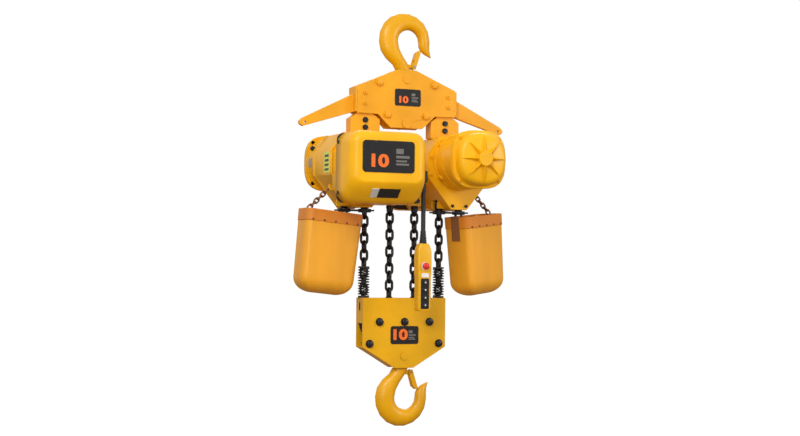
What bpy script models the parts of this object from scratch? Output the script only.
"""Hook-suspended 10 t electric chain hoist: two hoist units, four falls of chain and one bottom block.

Metres, +Z up, front is -Y. The origin is the saddle of the top hook, where the hoist hangs.
The right-hand hoist unit is the left-hand one turned half a turn about the vertical through the hooks,
and its bucket hangs turned a little further.
"""

import math

import bmesh
import bpy
from mathutils import Matrix, Vector

# Driving dimensions
GAP = 0.0003  # between touching pieces
PITCH = 0.034  # chain, 11.2 mm wire
CHAIN_R = 0.0105  # round bar with the chain's weight per metre
LINK_HALF_W = 0.0188
UNIT_X = 0.208  # hoist unit axes at -UNIT_X and +UNIT_X
MOTOR_Z = -0.538
SHEAVE_Z = -0.630
LOAD_R = 0.044  # pitch radius of the load sheave
IDLER_R = 0.055
IDLER_X = 0.109
IDLER_Z = -1.185
LOAD_X = UNIT_X - LOAD_R
DEAD_X = IDLER_X - IDLER_R
SLACK_X = UNIT_X + LOAD_R

# Frame
PLATE_OUT = 0.038  # half the thickness over both plates, frame and block
PLATE_T = 0.011
PLATE_IN = PLATE_OUT - PLATE_T
FRAME_TOP = -0.168
FRAME_HALF_W = 0.214
FRAME_SHOULDER = -0.242
FRAME_LOW = -0.350
FRAME_TIP = -0.404
HEAD_R = 0.015
HEAD_T = 0.011

# Hoist unit, front to back
COVER_W = 0.330
COVER_FRONT = -0.370
COVER_BACK = -0.2255
COVER_TOP = -0.450
COVER_LOW = -0.724
COVER_CHAMFER_Z = -0.655
CASE_FRONT = -0.225
CASE_MID = -0.100
CASE_BACK = 0.100
CASE_TOP = -0.440
CASE_LOW = -0.728
WALL = 0.008
MOTOR_R = 0.112
MOTOR_BACK = 0.262
LEVER_Z = -0.740
ANCHOR_LOW = -0.716

# Gears: one straight pair stands for the reduction
MODULE = 0.004
PINION_TEETH = 10
GEAR_TEETH = 36
GEAR_FRONT = -0.168
GEAR_BACK = -0.140

# Bottom block
BLOCK_TOP = -1.089
BLOCK_SIDE_LOW = -1.286
BLOCK_LOW = -1.370
BLOCK_HALF_W = 0.180
LOWER_BOLT_X = 0.151
LOWER_BOLT_Z = -1.272
SPRING_TOP = -0.966

# Hooks
BOWL_R = 0.0465
BOWL_X = 0.0185
BOTTOM_SADDLE_Z = -1.539
SHANK_R = 0.020
NECK_Z = 0.166  # neck above the saddle
LATCH_PIVOT = (0.042, 0.149)
TOP_CROSSHEAD_Z = -0.206
BOTTOM_CROSSHEAD_Z = -1.322

# Chain buckets
BUCKET_X = {"left": 0.308, "right": 0.320}
BUCKET_YAW = {"left": 0.0, "right": math.radians(25)}
HANGER_REACH = {"left": 0.094, "right": 0.104}
BUCKET_W = 0.236
BUCKET_D = 0.135
BUCKET_H = 0.325
BUCKET_RIM_Z = -0.750
BUCKET_TILT = math.radians(6)

# Pendant
PENDANT_X = -0.016
PENDANT_Y = -0.250
PENDANT_TOP = -0.873
PENDANT_LOW = -1.136
PENDANT_W = 0.056
PENDANT_D = 0.046
CABLE_R = 0.009
CABLE_TOP = -0.6240
BOOT_TOP = -0.823
ESTOP_Z = -0.961
BUTTON_Z = (-1.024, -1.0535, -1.083, -1.1125)

PALETTE = {
    "yellow_paint": ((0.93, 0.55, 0.02), 0.35, 0.0),
    "bucket_orange": ((0.93, 0.50, 0.06), 0.5, 0.0),
    "black_steel": ((0.02, 0.02, 0.022), 0.4, 0.8),
    "bare_steel": ((0.45, 0.45, 0.46), 0.35, 1.0),
    "black_rubber": ((0.015, 0.015, 0.015), 0.7, 0.0),
    "red_plastic": ((0.75, 0.05, 0.05), 0.3, 0.0),
    "black_plastic": ((0.02, 0.02, 0.02), 0.5, 0.0),
}


def clear_scene():
    for obj in list(bpy.data.objects):
        bpy.data.objects.remove(obj)


clear_scene()
PARTS = bpy.data.collections.new("electric_chain_hoist")
CUTTERS = bpy.data.collections.new("cutters")
bpy.context.scene.collection.children.link(PARTS)
bpy.context.scene.collection.children.link(CUTTERS)


def make_materials():
    for name, (colour, roughness, metallic) in PALETTE.items():
        material = bpy.data.materials.new(name)
        material.use_nodes = True
        shader = material.node_tree.nodes["Principled BSDF"]
        shader.inputs["Base Color"].default_value = (*colour, 1)
        shader.inputs["Roughness"].default_value = roughness
        shader.inputs["Metallic"].default_value = metallic


make_materials()


def add(name, data, material, unit=None):
    """A named part. unit is the empty of the hoist unit that it belongs to."""
    obj = bpy.data.objects.new(name, data)
    PARTS.objects.link(obj)
    obj.data.materials.clear()
    obj.data.materials.append(bpy.data.materials[material])
    obj.parent = unit
    return obj


def add_cutter(name, data, unit=None):
    obj = bpy.data.objects.new(name, data)
    CUTTERS.objects.link(obj)
    obj.hide_render = True
    obj.display_type = "WIRE"
    obj.parent = unit
    return obj


def boolean(obj, other, operation="DIFFERENCE"):
    modifier = obj.modifiers.new(operation.lower(), "BOOLEAN")
    modifier.operation = operation
    modifier.solver = "EXACT"
    modifier.object = other
    return obj


def bevel(obj, width, segments=1):
    modifier = obj.modifiers.new("bevel", "BEVEL")
    modifier.width = width
    modifier.segments = segments
    modifier.limit_method = "ANGLE"
    modifier.angle_limit = math.radians(40)
    return obj


def box_mesh(x, y, z):
    """A box between the limits (low, high) on each axis."""
    bm = bmesh.new()
    bmesh.ops.create_cube(bm, size=1)
    size = Vector((x[1] - x[0], y[1] - y[0], z[1] - z[0]))
    centre = Vector((x[0] + x[1], y[0] + y[1], z[0] + z[1])) / 2
    bm.transform(Matrix.Translation(centre) @ Matrix.Diagonal((*size, 1)))
    return finish_mesh(bm, "box")


def finish_mesh(bm, name):
    mesh = bpy.data.meshes.new(name)
    bm.to_mesh(mesh)
    bm.free()
    return mesh


def rod_mesh(radius, start, end, sides=20, end_radius=None):
    """A round rod or a cone from start to end."""
    bm = bmesh.new()
    axis = Vector(end) - Vector(start)
    bmesh.ops.create_cone(
        bm,
        cap_ends=True,
        segments=sides,
        radius1=radius,
        radius2=radius if end_radius is None else end_radius,
        depth=axis.length,
    )
    turn = axis.to_track_quat("Z", "Y").to_matrix().to_4x4()
    bm.transform(Matrix.Translation((Vector(start) + Vector(end)) / 2) @ turn)
    return finish_mesh(bm, "rod")


def along_y(radius, x, z, y0, y1, sides=20):
    return rod_mesh(radius, (x, y0, z), (x, y1, z), sides)


def plate_mesh(outline, y0, y1):
    """A flat outline in X and Z, filled and given its thickness from y0 to y1."""
    curve = bpy.data.curves.new("outline", "CURVE")
    curve.dimensions = "2D"
    curve.fill_mode = "BOTH"
    curve.extrude = (y1 - y0) / 2
    spline = curve.splines.new("POLY")
    spline.points.add(len(outline) - 1)
    for point, (x, z) in zip(spline.points, outline):
        point.co = (x, z, 0, 1)
    spline.use_cyclic_u = True
    source = bpy.data.objects.new("outline", curve)
    CUTTERS.objects.link(source)
    source.matrix_world = Matrix.Translation((0, (y0 + y1) / 2, 0)) @ Matrix.Rotation(
        math.pi / 2, 4, "X"
    )
    return mesh_of_curve(source)


def mesh_of_curve(source):
    """The evaluated mesh of a curve object in world space, its caps welded. The curve is removed."""
    bpy.context.view_layer.update()
    graph = bpy.context.evaluated_depsgraph_get()
    mesh = bpy.data.meshes.new_from_object(source.evaluated_get(graph))
    bm = bmesh.new()
    bm.from_mesh(mesh)
    bm.transform(source.matrix_world)
    bmesh.ops.remove_doubles(bm, verts=bm.verts, dist=1e-6)
    bmesh.ops.recalc_face_normals(bm, faces=bm.faces)
    bpy.data.objects.remove(source)
    return finish_mesh(bm, "curve")


def turned(obj_name, profile, material, location, axis="Y", steps=24, unit=None, closed=False):
    """A profile of (radius, height) points, run down its outer side, turned about its own axis."""
    mesh = bpy.data.meshes.new(obj_name)
    edges = [(i, i + 1) for i in range(len(profile) - 1)]
    if closed:
        edges.append((len(profile) - 1, 0))
    mesh.from_pydata([(r, 0, h) for r, h in profile], edges, [])
    obj = add(obj_name, mesh, material, unit)
    obj.location = location
    if axis == "Y":
        obj.rotation_euler.x = -math.pi / 2
    screw = obj.modifiers.new("turn", "SCREW")
    screw.steps = screw.render_steps = steps
    screw.use_merge_vertices = True
    screw.merge_threshold = 1e-5
    return obj


def tube_along(points, radius):
    """A filled round bar through the points."""
    curve = bpy.data.curves.new("bar", "CURVE")
    curve.dimensions = "3D"
    curve.bevel_depth = radius
    curve.bevel_resolution = 2
    curve.use_fill_caps = True
    spline = curve.splines.new("POLY")
    spline.points.add(len(points) - 1)
    for point, co in zip(spline.points, points):
        point.co = (*co, 1)
    return curve


def arc(cx, cz, radius, start, end, steps):
    """Points in X and Z round a centre, angles in degrees from +X towards +Z."""
    angles = [math.radians(start + (end - start) * i / steps) for i in range(steps + 1)]
    return [(cx + radius * math.cos(a), cz + radius * math.sin(a)) for a in angles]


def mirrored(outline):
    """The whole outline from its right half, whose points run from the top down."""
    return outline + [(-x, z) for x, z in reversed(outline)]


# ---------------------------------------------------------------- hooks


def hook_stations():
    """Inner point, outer point and thickness of each section from neck to tip, saddle at the origin."""
    back = [
        ((0.029, 0.166), (-0.035, 0.166), 0.056),
        ((0.015, 0.138), (-0.048, 0.144), 0.056),
        ((-0.006, 0.108), (-0.078, 0.120), 0.058),
        ((-0.022, 0.079), (-0.101, 0.088), 0.060),
    ]
    inner = arc(BOWL_X, BOWL_R, BOWL_R, 175, 360, 9)
    outer = arc(0.002, 0.042, 0.111, 175, 360, 9)
    bowl = [(a, b, 0.060 - 0.016 * i / 9) for i, (a, b) in enumerate(zip(inner, outer))]
    tip = [
        ((0.066, 0.066), (0.1125, 0.066), 0.038),
        ((0.075, 0.082), (0.114, 0.084), 0.030),
        ((0.089, 0.094), (0.118, 0.098), 0.021),
        ((0.108, 0.103), (0.121, 0.107), 0.012),
    ]
    return back + bowl + tip


def hook_mesh():
    """Oval sections lofted along the hook. They change size all the way, so the faces are built here."""
    sides = 10
    bm = bmesh.new()
    rings = []
    for inner, outer, thick in hook_stations():
        middle = (Vector(inner) + Vector(outer)) / 2
        half = (Vector(inner) - Vector(outer)) / 2
        ring = []
        for k in range(sides):
            a = 2 * math.pi * k / sides
            flat = middle + half * math.cos(a)
            # The inner half of the section is fuller than the outer half
            fullness = 1 + 0.12 * math.cos(a)
            ring.append(bm.verts.new((flat.x, thick / 2 * math.sin(a) * fullness, flat.y)))
        rings.append(ring)
    for a, b in zip(rings, rings[1:]):
        for k in range(sides):
            bm.faces.new((a[k], a[(k + 1) % sides], b[(k + 1) % sides], b[k]))
    bm.faces.new(rings[0])
    bm.faces.new(list(reversed(rings[-1])))
    bmesh.ops.recalc_face_normals(bm, faces=bm.faces)
    return finish_mesh(bm, "hook")


def shank_profile():
    """Shank and swivel nut above the neck, as (radius, height above the saddle)."""
    top = NECK_Z + 0.108
    nut = NECK_Z + 0.076
    upper = [(0, top), (0.017, top), (0.026, top - 0.004), (0.026, nut)]
    return upper + [(SHANK_R, nut), (SHANK_R, 0.150), (0, 0.150)]


def make_hook(name, saddle_z, upside_down):
    hook = add(name, hook_mesh(), "yellow_paint")
    shank = bpy.data.meshes.new("shank")
    points = shank_profile()
    shank.from_pydata([(r, 0, h) for r, h in points], [(i, i + 1) for i in range(len(points) - 1)], [])
    turn = add_cutter(name + "_shank", shank)
    screw = turn.modifiers.new("turn", "SCREW")
    screw.steps = screw.render_steps = 20
    screw.use_merge_vertices = True
    screw.merge_threshold = 1e-5
    x, z = LATCH_PIVOT
    ear = add_cutter(name + "_ear", box_mesh((0.010, x + 0.008), (-0.009, 0.009), (z - 0.009, z + 0.007)))
    for piece in (turn, ear):
        boolean(hook, piece, "UNION")
    for piece in (hook, turn, ear):
        piece.location.z = saddle_z
        if upside_down:
            piece.rotation_euler.x = math.pi
    return hook


def make_latch(name, saddle_z, upside_down):
    """Pressed safety latch, from its pivot on the neck to the hook's tip. Its origin is on the pivot."""
    length = 0.068
    outline = [(-0.008, 0.010), (0.009, 0.010), (0.010, -length)]
    outline += [(0.001, -length - 0.004), (-0.009, -length + 0.012)]
    latch = add(name, plate_mesh(outline, -0.014, 0.014), "yellow_paint")
    slot = add_cutter(name + "_slot", box_mesh((-0.030, 0.030), (-0.0098, 0.0098), (-0.026, 0.030)))
    boolean(latch, slot)
    x, z = LATCH_PIVOT
    lean = math.radians(-17)
    for piece in (latch, slot):
        piece.location = (x, 0, saddle_z + (-z if upside_down else z))
        if upside_down:
            piece.rotation_euler = (math.pi, -lean, 0)
        else:
            piece.rotation_euler = (0, lean, 0)
    return latch


def make_crosshead(name, z):
    """Trunnion block between two plates, bored for the hook's shank."""
    half_d = PLATE_IN - GAP
    block = add(name, box_mesh((-0.040, 0.040), (-half_d, half_d), (z - 0.018, z + 0.018)), "bare_steel")
    pin = add_cutter(name + "_pin", along_y(0.017 - GAP, 0, z, -PLATE_OUT - 0.003, PLATE_OUT + 0.003))
    boolean(block, pin, "UNION")
    bore = add_cutter(name + "_bore", rod_mesh(SHANK_R + GAP, (0, 0, z - 0.05), (0, 0, z + 0.05)))
    return boolean(block, bore)


# ---------------------------------------------------------------- frame


def drill(obj, holes, unit=None):
    """Cuts round holes along Y, given as (radius, x, z)."""
    for i, (radius, x, z) in enumerate(holes):
        cutter = add_cutter(f"{obj.name}_hole_{i}", along_y(radius, x, z, -0.1, 0.1), unit)
        boolean(obj, cutter)
    return obj


def make_bolt(name, x, z, shaft_r=0.010):
    """Through bolt along Y with a head at each end, outside the plates."""
    end = PLATE_OUT + GAP + HEAD_T
    under = PLATE_OUT + GAP
    profile = [(0, end), (HEAD_R, end), (HEAD_R, under), (shaft_r, under)]
    profile += [(r, -h) for r, h in reversed(profile)]
    return turned(name, profile, "black_steel", (x, 0, z), steps=12)


FRAME_BOLTS = [(-0.121, -0.224), (0.121, -0.224), (-0.084, -0.352), (0.084, -0.352)]
BLOCK_BOLTS = [(0, IDLER_Z), (-LOWER_BOLT_X, LOWER_BOLT_Z), (LOWER_BOLT_X, LOWER_BOLT_Z)]


def make_frame():
    outline = mirrored(
        [
            (0.040, FRAME_TOP),
            (FRAME_HALF_W, FRAME_SHOULDER),
            (FRAME_HALF_W, FRAME_LOW),
            (0.124, FRAME_LOW - 0.002),
            (0.070, FRAME_TIP),
        ]
    )
    holes = [(0.0103, x, z) for x, z in FRAME_BOLTS] + [(0.017, 0, TOP_CROSSHEAD_Z)]
    for name, y0 in (("frame_plate_front", -PLATE_OUT), ("frame_plate_rear", PLATE_IN)):
        plate = add(name, plate_mesh(outline, y0, y0 + PLATE_T), "yellow_paint")
        drill(plate, holes)
    for i, (x, z) in enumerate(FRAME_BOLTS):
        make_bolt(f"frame_tie_bolt_{i + 1}", x, z)
    for name, side in (("left", -1), ("right", 1)):
        make_arm("side_arm_" + name, side)
        make_lug("suspension_lug_" + name, side)


def make_arm(name, side):
    """Tapered arm that carries the cables, with a flange that closes the end of the frame."""
    root = FRAME_HALF_W + GAP
    web = [
        (root + 0.004, -0.272),
        (0.436, -0.380),
        (0.448, -0.392),
        (0.446, -0.404),
        (0.432, -0.412),
        (root + 0.004, -0.346),
    ]
    arm = add(name, plate_mesh([(side * x, z) for x, z in web], -0.010, 0.010), "yellow_paint")
    limits = sorted((side * root, side * (root + 0.008)))
    flange = add_cutter(name + "_flange", box_mesh(limits, (-PLATE_OUT, PLATE_OUT), (-0.346, -0.246)))
    boolean(arm, flange, "UNION")
    return drill(arm, [(0.005, side * 0.425, -0.396)])


def make_lug(name, side):
    """Suspension lug: a tongue held between the frame plates, on a foot bolted to the casing."""
    outline = [
        (0.140, -0.262),
        (0.210, -0.262),
        (0.210, -0.352),
        (0.238, -0.372),
        (0.238, CASE_TOP + GAP),
        (0.112, CASE_TOP + GAP),
        (0.112, -0.372),
        (0.140, -0.352),
    ]
    half = PLATE_IN - 0.0005
    return add(name, plate_mesh([(side * x, z) for x, z in outline], -half, half), "yellow_paint")


# ---------------------------------------------------------------- hoist unit


def case_outline(inset):
    """Casing section round the sheave, V-shaped below, inset by a wall."""
    half = 0.138 - inset
    return [
        (-UNIT_X + x, z)
        for x, z in mirrored(
            [
                (0.088 - inset / 2, CASE_TOP - inset),
                (half, -0.510),
                (half, -0.600),
                (0.034 - inset * 0.4, CASE_LOW + inset),
            ]
        )
    ]


def gear_outline(inset):
    """Casing section round the gears, wide enough for the load gear."""
    half = 0.132 - inset
    return [
        (-UNIT_X + x, z)
        for x, z in mirrored(
            [
                (0.085 - inset / 2, COVER_TOP - 0.010 - inset),
                (half, -0.520),
                (half, -0.660),
                (0.085 - inset * 0.4, COVER_LOW + 0.002 + inset),
            ]
        )
    ]


def make_casing(side_name, unit):
    body = plate_mesh(case_outline(0), CASE_MID, CASE_BACK)
    casing = add("main_casing_" + side_name, body, "yellow_paint", unit)
    name = casing.name

    def part(label, mesh, operation):
        boolean(casing, add_cutter(f"{name}_{label}", mesh, unit), operation)

    part("gear_case", plate_mesh(gear_outline(0), CASE_FRONT, CASE_MID + 0.001), "UNION")
    part("anchor", box_mesh((-0.092, -0.034), (-0.020, 0.020), (ANCHOR_LOW, -0.600)), "UNION")
    part("eye", box_mesh((-0.318, -0.280), (-0.009, 0.009), (-0.664, -0.640)), "UNION")
    part("hollow", plate_mesh(case_outline(WALL), CASE_MID + WALL, CASE_BACK - WALL), "DIFFERENCE")
    # The gear case is open at the front, under the control cover
    part("gear_hollow", plate_mesh(gear_outline(WALL), CASE_FRONT - 0.010, CASE_MID), "DIFFERENCE")
    part("rotor_hole", along_y(0.0135, -UNIT_X, MOTOR_Z, -0.12, 0.12), "DIFFERENCE")
    part("sheave_hole", along_y(0.0175, -UNIT_X, SHEAVE_Z, -0.12, 0), "DIFFERENCE")
    slot = 2 * (LOAD_R + LINK_HALF_W + 0.002)
    x = (-UNIT_X - slot / 2, -UNIT_X + slot / 2)
    depth = LINK_HALF_W + 0.003
    part("chain_mouth", box_mesh(x, (-depth, depth), (-0.80, CASE_LOW + 0.047)), "DIFFERENCE")
    return casing


def cover_mesh():
    """Open-backed cover: a cube cut at the chamfer, its lower front edge pushed back, its edges rounded."""
    bm = bmesh.new()
    bmesh.ops.create_cube(bm, size=1)
    centre = Vector((-UNIT_X, (COVER_FRONT + COVER_BACK) / 2, (COVER_TOP + COVER_LOW) / 2))
    size = (COVER_W, COVER_BACK - COVER_FRONT, COVER_TOP - COVER_LOW)
    bm.transform(Matrix.Translation(centre) @ Matrix.Diagonal((*size, 1)))
    everything = bm.verts[:] + bm.edges[:] + bm.faces[:]
    bmesh.ops.bisect_plane(bm, geom=everything, plane_co=(0, 0, COVER_CHAMFER_Z), plane_no=(0, 0, 1))
    back = [f for f in bm.faces if f.normal.y > 0.9]
    bmesh.ops.delete(bm, geom=back, context="FACES")
    for v in bm.verts:
        front = v.co.y < COVER_FRONT + 0.01
        if front and v.co.z < COVER_CHAMFER_Z - 0.01:
            v.co.y += 0.070
        if front:
            v.co.x += 0.012 * (1 if v.co.x < -UNIT_X else -1)
    edges = [e for e in bm.edges if not e.is_boundary and e.calc_face_angle(0) > 0.15]
    bmesh.ops.bevel(bm, geom=edges, offset=0.030, segments=3, profile=0.5, affect="EDGES")
    bmesh.ops.recalc_face_normals(bm, faces=bm.faces)
    return finish_mesh(bm, "cover")


def make_cover(side_name, unit):
    cover = add("control_cover_" + side_name, cover_mesh(), "yellow_paint", unit)
    solidify = cover.modifiers.new("shell", "SOLIDIFY")
    solidify.thickness = 0.005
    solidify.offset = -1
    return cover


def make_motor(side_name, unit):
    location = (-UNIT_X, 0, MOTOR_Z)
    front, back = CASE_BACK + GAP, MOTOR_BACK
    # The housing's thick wall holds the stator
    ring = [(MOTOR_R, back), (MOTOR_R, front), (0.066, front), (0.066, back)]
    turned("motor_housing_" + side_name, ring, "yellow_paint", location, steps=32, unit=unit, closed=True)
    rim = MOTOR_BACK + GAP
    dome = [(0, 0.356), (0.034, 0.356), (0.036, 0.340), (0.066, 0.333), (0.092, 0.320), (0.108, 0.300)]
    dome += [(MOTOR_R, 0.288), (MOTOR_R, rim)]
    cover = turned("motor_end_cover_" + side_name, dome, "yellow_paint", location, steps=32, unit=unit)
    solidify = cover.modifiers.new("shell", "SOLIDIFY")
    solidify.thickness = 0.006
    solidify.offset = -1


def gear_outline_points(teeth, turn):
    """Straight-flanked teeth, thinner than half a pitch so that the pair runs with backlash."""
    pitch_r = MODULE * teeth / 2
    tip, root = pitch_r + 0.75 * MODULE, pitch_r - 1.0 * MODULE
    step = 2 * math.pi / teeth
    points = []
    for i in range(teeth):
        middle = turn + i * step
        for r, share in ((root, -0.30), (tip, -0.11), (tip, 0.11), (root, 0.30)):
            a = middle + share * step
            points.append((r * math.cos(a), r * math.sin(a)))
    return points


def make_drive(side_name, unit):
    """Load sheave on its shaft, load gear, and motor rotor with its pinion, each about its own axis."""
    flange, drum, groove = LOAD_R + 0.008, LOAD_R - 0.007, LOAD_R - 0.0195
    half = sheave_half_profile(flange, drum, groove)
    shaft, side = 0.016, half[0][1]
    profile = [(0, 0.085), (shaft, 0.085), (shaft, side), *half, *[(r, -y) for r, y in reversed(half)]]
    profile += [(shaft, -side), (shaft, GEAR_FRONT - 0.006), (0, GEAR_FRONT - 0.006)]
    turned("load_sheave_" + side_name, profile, "bare_steel", (-UNIT_X, 0, SHEAVE_Z), unit=unit)
    outline = gear_outline_points(GEAR_TEETH, math.pi / 2 + math.pi / GEAR_TEETH)
    gear = add("load_gear_" + side_name, plate_mesh(outline, GEAR_FRONT, GEAR_BACK), "bare_steel", unit)
    gear.location = (-UNIT_X, 0, SHEAVE_Z)
    bore = add_cutter(gear.name + "_bore", along_y(0.0163, -UNIT_X, SHEAVE_Z, -0.3, 0), unit)
    boolean(gear, bore)
    rotor_profile = [
        (0, 0.300),
        (0.012, 0.300),
        (0.012, 0.288),
        (0.070, 0.288),
        (0.070, 0.278),
        (0.012, 0.278),
        (0.012, 0.240),
        (0.060, 0.240),
        (0.060, 0.125),
        (0.012, 0.125),
        (0.012, GEAR_FRONT + 0.004),
        (0, GEAR_FRONT + 0.004),
    ]
    rotor = turned("motor_rotor_" + side_name, rotor_profile, "bare_steel", (-UNIT_X, 0, MOTOR_Z), unit=unit)
    outline = gear_outline_points(PINION_TEETH, -math.pi / 2)
    pinion = add_cutter(rotor.name + "_pinion", plate_mesh(outline, GEAR_FRONT, GEAR_BACK), unit)
    pinion.location = (-UNIT_X, 0, MOTOR_Z)
    boolean(rotor, pinion, "UNION")


def sheave_half_profile(flange, drum, groove):
    """Back flange to the middle of a chain sheave, as (radius, y)."""
    return [
        (flange, 0.0245),
        (flange, 0.0198),
        (drum, 0.0198),
        (drum, 0.0115),
        (groove, 0.0115),
    ]


def make_lever(side_name, unit):
    """Rocking limit lever under the casing: both runs of chain pass through it."""
    name = "limit_lever_" + side_name
    lever = add(name, box_mesh((-0.075, 0.075), (-0.030, 0.030), (-0.003, 0.003)), "black_steel", unit)
    lever.location = (-UNIT_X, 0, LEVER_Z)
    for i, x in enumerate((-LOAD_R, LOAD_R)):
        hole = rod_mesh(LINK_HALF_W + 0.0027, (x, 0, -0.02), (x, 0, 0.02))
        cutter = add_cutter(f"{name}_hole_{i}", hole, unit)
        cutter.location = lever.location
        boolean(lever, cutter)
    return lever


def make_chains(side_name, unit):
    """Bars that stand for the chain: the working run round the idler, and the slack run into the bucket."""
    run = [(-LOAD_X, SHEAVE_Z - 0.0025)]
    run += arc(-IDLER_X, IDLER_Z, IDLER_R, 180, 360, 10)
    run += [(-DEAD_X, ANCHOR_LOW - GAP)]
    add("load_chain_" + side_name, tube_along([(x, 0, z) for x, z in run], CHAIN_R), "black_steel", unit)
    slack = arc(-UNIT_X, SHEAVE_Z, LOAD_R, 0, 180, 10) + [(-SLACK_X, -0.800)]
    add("slack_chain_" + side_name, tube_along([(x, 0, z) for x, z in slack], CHAIN_R), "black_steel", unit)


def make_spring(side_name, unit):
    """Limit spring round the working run, standing on the bottom block."""
    turns, steps = 7, 9
    wire, radius = 0.003, 0.0215
    low, high = BLOCK_TOP + GAP + wire, SPRING_TOP
    points = []
    for i in range(turns * steps + 1):
        a = 2 * math.pi * i / steps
        z = low + (high - low) * i / (turns * steps)
        points.append((-LOAD_X + radius * math.cos(a), radius * math.sin(a), z))
    curve = tube_along(points, wire)
    curve.bevel_resolution = 1
    add("chain_spring_" + side_name, curve, "black_steel", unit)


def bucket_mesh():
    """Open-topped bucket hanging below its origin, corners and bottom rounded."""
    bm = bmesh.new()
    bmesh.ops.create_cube(bm, size=1)
    shape = Matrix.Diagonal((BUCKET_W, BUCKET_D, BUCKET_H, 1))
    bm.transform(Matrix.Translation((0, 0, -BUCKET_H / 2)) @ shape)
    top = [f for f in bm.faces if f.normal.z > 0.9]
    bmesh.ops.delete(bm, geom=top, context="FACES")
    upright = [e for e in bm.edges if abs(e.verts[0].co.z - e.verts[1].co.z) > 0.1]
    bmesh.ops.bevel(bm, geom=upright, offset=0.022, segments=3, profile=0.5, affect="EDGES")
    low = [e for e in bm.edges if max(v.co.z for v in e.verts) < 0.001 - BUCKET_H]
    bmesh.ops.bevel(bm, geom=low, offset=0.045, segments=3, profile=0.5, affect="EDGES")
    bmesh.ops.remove_doubles(bm, verts=bm.verts, dist=1e-5)
    bmesh.ops.recalc_face_normals(bm, faces=bm.faces)
    return finish_mesh(bm, "bucket")


def make_bucket(side_name, unit):
    """Bucket under the slack run, and the short chain from its rim up to the casing's eye."""
    x, yaw = -BUCKET_X[side_name], BUCKET_YAW[side_name]
    bucket = add("chain_bucket_" + side_name, bucket_mesh(), "bucket_orange", unit)
    bucket.location = (x, 0, BUCKET_RIM_Z)
    bucket.rotation_euler = (0, BUCKET_TILT, yaw)
    solidify = bucket.modifiers.new("shell", "SOLIDIFY")
    solidify.thickness = 0.004
    solidify.offset = -1
    reach = HANGER_REACH[side_name]
    rim = (x - reach * math.cos(yaw), -reach * math.sin(yaw), BUCKET_RIM_Z + 0.017)
    hanger = tube_along([rim, (-0.3215, 0, -0.659)], 0.005)
    add("bucket_hanger_" + side_name, hanger, "black_steel", unit)


def make_unit(side_name, turn):
    unit = bpy.data.objects.new("unit_" + side_name, None)
    PARTS.objects.link(unit)
    unit.rotation_euler.z = turn
    make_cover(side_name, unit)
    make_casing(side_name, unit)
    make_motor(side_name, unit)
    make_drive(side_name, unit)
    make_lever(side_name, unit)
    make_chains(side_name, unit)
    make_spring(side_name, unit)
    make_bucket(side_name, unit)


# ---------------------------------------------------------------- bottom block


def make_block():
    outline = mirrored([(BLOCK_HALF_W, BLOCK_TOP), (BLOCK_HALF_W, BLOCK_SIDE_LOW), (0.040, BLOCK_LOW)])
    holes = [(0.0103, x, z) for x, z in BLOCK_BOLTS]
    holes += [(0.0123, x, IDLER_Z) for x in (-IDLER_X, IDLER_X)] + [(0.017, 0, BOTTOM_CROSSHEAD_Z)]
    for name, y0 in (("block_plate_front", -PLATE_OUT), ("block_plate_rear", PLATE_IN)):
        plate = add(name, plate_mesh(outline, y0, y0 + PLATE_T), "yellow_paint")
        drill(plate, holes)
    for i, (x, z) in enumerate(BLOCK_BOLTS):
        make_bolt(f"block_tie_bolt_{i + 1}", x, z)
    half = sheave_half_profile(IDLER_R + 0.009, IDLER_R - 0.007, IDLER_R - 0.0195)
    ring = [(0.0125, 0.0245), *half, *[(r, -y) for r, y in reversed(half)], (0.0125, -0.0245)]
    for name, x in (("left", -IDLER_X), ("right", IDLER_X)):
        turned("idler_sheave_" + name, ring, "bare_steel", (x, 0, IDLER_Z), closed=True)
        make_bolt("idler_axle_" + name, x, IDLER_Z, 0.012)
    make_block_cover()


def make_block_cover():
    """Strip that closes the top of the block, with a mouth for each fall."""
    half_d = PLATE_IN - GAP
    strip = box_mesh((-BLOCK_HALF_W, BLOCK_HALF_W), (-half_d, half_d), (BLOCK_TOP - 0.006, BLOCK_TOP))
    cover = add("block_top_cover", strip, "yellow_paint")
    mouth = LINK_HALF_W + 0.002
    for i, x in enumerate((-LOAD_X, -DEAD_X, DEAD_X, LOAD_X)):
        cutter = rod_mesh(mouth, (x, 0, BLOCK_TOP - 0.02), (x, 0, BLOCK_TOP + 0.02))
        boolean(cover, add_cutter(f"block_mouth_{i}", cutter))
    return cover


# ---------------------------------------------------------------- pendant


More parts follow.
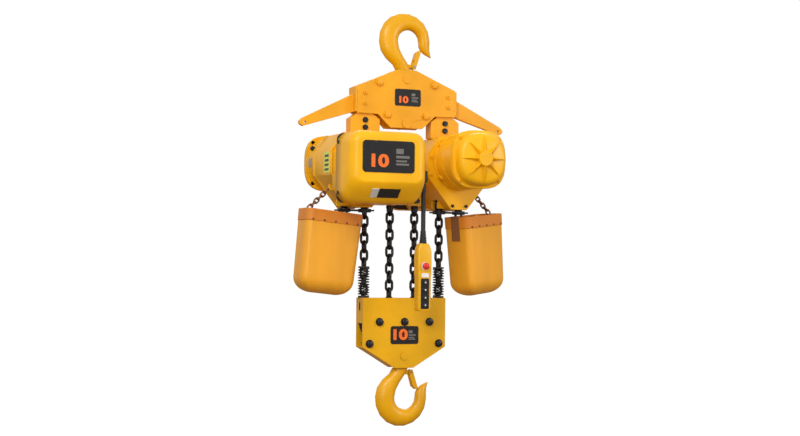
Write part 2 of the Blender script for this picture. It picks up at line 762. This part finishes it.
def make_pendant():
    x, y = PENDANT_X, PENDANT_Y
    half_w, half_d = PENDANT_W / 2, PENDANT_D / 2
    shell_box = box_mesh((x - half_w, x + half_w), (y - half_d, y + half_d), (PENDANT_LOW, PENDANT_TOP))
    shell = add("pendant_shell", shell_box, "yellow_paint")
    bevel(shell, 0.006, 2)
    cone = rod_mesh(0.015, (x, y, PENDANT_TOP - 0.004), (x, y, BOOT_TOP), end_radius=0.011)
    boolean(shell, add_cutter("boot", cone), "UNION")
    wall = 0.003
    hollow = box_mesh(
        (x - half_w + wall, x + half_w - wall),
        (y - half_d + wall, y + half_d - wall),
        (PENDANT_LOW + wall, PENDANT_TOP - wall - 0.004),
    )
    boolean(shell, add_cutter("pendant_hollow", hollow))
    front = y - half_d
    holes = [(0.0084, ESTOP_Z)] + [(0.0094, z) for z in BUTTON_Z]
    for i, (radius, z) in enumerate(holes):
        cutter = rod_mesh(radius, (x, front - 0.01, z), (x, front + 0.01, z), 16)
        boolean(shell, add_cutter(f"pendant_hole_{i}", cutter))
    head = [(0, 0.016), (0.010, 0.016), (0.014, 0.012), (0.014, 0.0065)]
    head += [(0.008, 0.0060), (0.008, -0.014), (0, -0.014)]
    stop = turned("emergency_stop", head, "red_plastic", (x, front, ESTOP_Z), steps=16)
    stop.rotation_euler.x = math.pi / 2
    cap = [(0, 0.005), (0.008, 0.005), (0.009, 0.004), (0.009, -0.014), (0, -0.014)]
    for i, z in enumerate(BUTTON_Z):
        button = turned(f"push_button_{i + 1}", cap, "black_plastic", (x, front, z), steps=12)
        button.rotation_euler.x = math.pi / 2
    cable = tube_along([(x, y, CABLE_TOP + (BOOT_TOP + GAP - CABLE_TOP) * i / 6) for i in range(7)], CABLE_R)
    add("pendant_cable", cable, "black_rubber")
    make_gland()


def make_gland():
    """Elbow gland on the inner side of the left control cover, its mouth open downwards round the cable."""
    x, y = PENDANT_X, PENDANT_Y
    side = -UNIT_X + COVER_W / 2
    gland = add("pendant_gland", rod_mesh(0.0155, (x, y, -0.590), (x, y, -0.634), 12), "black_plastic")
    stub = add_cutter("gland_stub", rod_mesh(0.011, (side + GAP, y, -0.601), (x, y, -0.601), 12))
    boolean(gland, stub, "UNION")
    bore = add_cutter("gland_bore", rod_mesh(CABLE_R + 0.0035, (x, y, CABLE_TOP + 0.003), (x, y, -0.65), 16))
    return boolean(gland, bore)


make_hook("top_hook", 0, True)
make_latch("top_hook_latch", 0, True)
make_crosshead("top_hook_crosshead", TOP_CROSSHEAD_Z)
make_frame()
make_unit("left", 0)
make_unit("right", math.pi)
make_block()
make_crosshead("bottom_hook_crosshead", BOTTOM_CROSSHEAD_Z)
make_hook("bottom_hook", BOTTOM_SADDLE_Z, False)
make_latch("bottom_hook_latch", BOTTOM_SADDLE_Z, False)
make_pendant()
